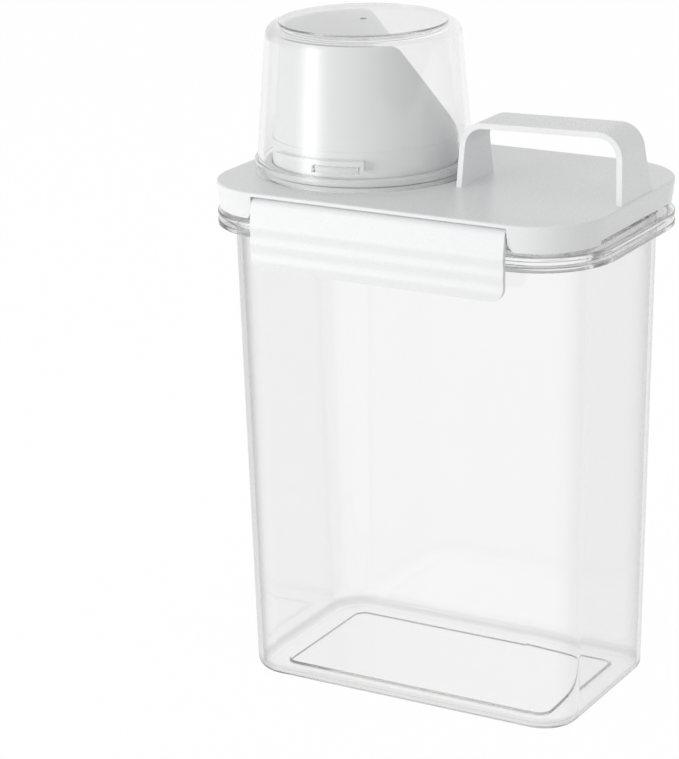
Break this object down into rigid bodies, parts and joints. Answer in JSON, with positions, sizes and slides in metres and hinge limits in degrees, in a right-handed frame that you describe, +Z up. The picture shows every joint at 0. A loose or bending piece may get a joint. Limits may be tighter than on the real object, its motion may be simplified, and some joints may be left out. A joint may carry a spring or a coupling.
{
  "type": "detergent dispenser",
  "caption": "Clear box with a clip-on lid, carrying handle, pouring spout and screw-on measuring cup, for laundry powder or liquid.",
  "frame": {"origin": "middle of the footprint, on the plane that the box stands on", "axes": "+Z up; X along the long side, the handle towards +X and the spout towards -X; the two latches face -Y and +Y"},
  "size_m": [0.155, 0.106, 0.2445],
  "materials": {
    "clear_box": "clear, polished",
    "clear_cup": "clear, polished",
    "white_plastic": "satin",
    "silicone": "soft satin"
  },
  "bodies": {
    "container": {"container": "clear_box"},
    "lid": {"lid": "white_plastic", "lid_gasket": "silicone", "spout": "white_plastic"},
    "front_latch": {"front_latch": "white_plastic"},
    "rear_latch": {"rear_latch": "white_plastic"},
    "cup_ring": {"cup_ring": "silicone"},
    "measuring_cup": {"measuring_cup": "clear_cup"}
  },
  "joints": [
    {"name": "lid_lift", "type": "slide", "parent": "container", "child": "lid", "axis": [0, 0, 1], "range_m": [0, 0.06]},
    {"name": "front_latch_swing", "type": "hinge", "parent": "lid", "child": "front_latch", "pos_m": [0, -0.049, 0.1854], "axis": [-1, 0, 0], "range_deg": [0, 85]},
    {"name": "rear_latch_swing", "type": "hinge", "parent": "lid", "child": "rear_latch", "pos_m": [0, 0.049, 0.1854], "axis": [1, 0, 0], "range_deg": [0, 85]},
    {"name": "cup_twist", "type": "hinge", "parent": "lid", "child": "cup_ring", "pos_m": [-0.0325, 0, 0.1928], "axis": [0, 0, 1], "range_deg": [-60, 0]},
    {"name": "cup_lift", "type": "slide", "parent": "cup_ring", "child": "measuring_cup", "axis": [0, 0, 1], "range_m": [0, 0.06]}
  ]
}
